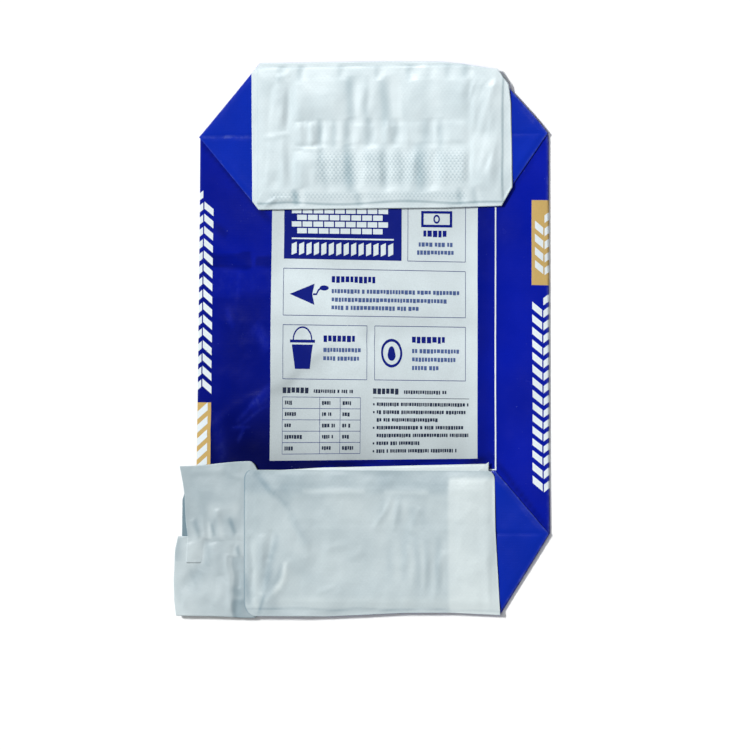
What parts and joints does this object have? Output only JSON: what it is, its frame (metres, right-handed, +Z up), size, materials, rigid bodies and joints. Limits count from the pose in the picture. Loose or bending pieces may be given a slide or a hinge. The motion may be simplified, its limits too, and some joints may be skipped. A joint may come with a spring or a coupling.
{
  "type": "cement bag",
  "caption": "Empty block-bottom valve bag of coated woven fabric, folded flat, with welded cover patches over its ends and a flat filling sleeve at one corner.",
  "frame": {"origin": "middle of the bag body's underside, on the floor that the bag lies on", "axes": "+Z up, out of the folded ends and their patches; +Y along the bag, from the sleeve end to the plain end; +X across the bag, away from the side that the filling sleeve comes out of"},
  "size_m": [0.482, 0.526, 0.0074],
  "materials": {
    "printed_film": "film-coated woven fabric, glossy, printed blue with a white panel",
    "coated_weave": "white coated woven fabric with a welded pillow pattern, satin",
    "smooth_patch": "white coated fabric, smooth and satin, softly wrinkled",
    "sleeve_sheet": "thin white sheet, satin, creased"
  },
  "bodies": {
    "root": {"bag_body": "printed_film", "top_cover_patch": "coated_weave", "bottom_cover_patch": "smooth_patch", "valve_sleeve": "sleeve_sheet"}
  },
  "joints": []
}
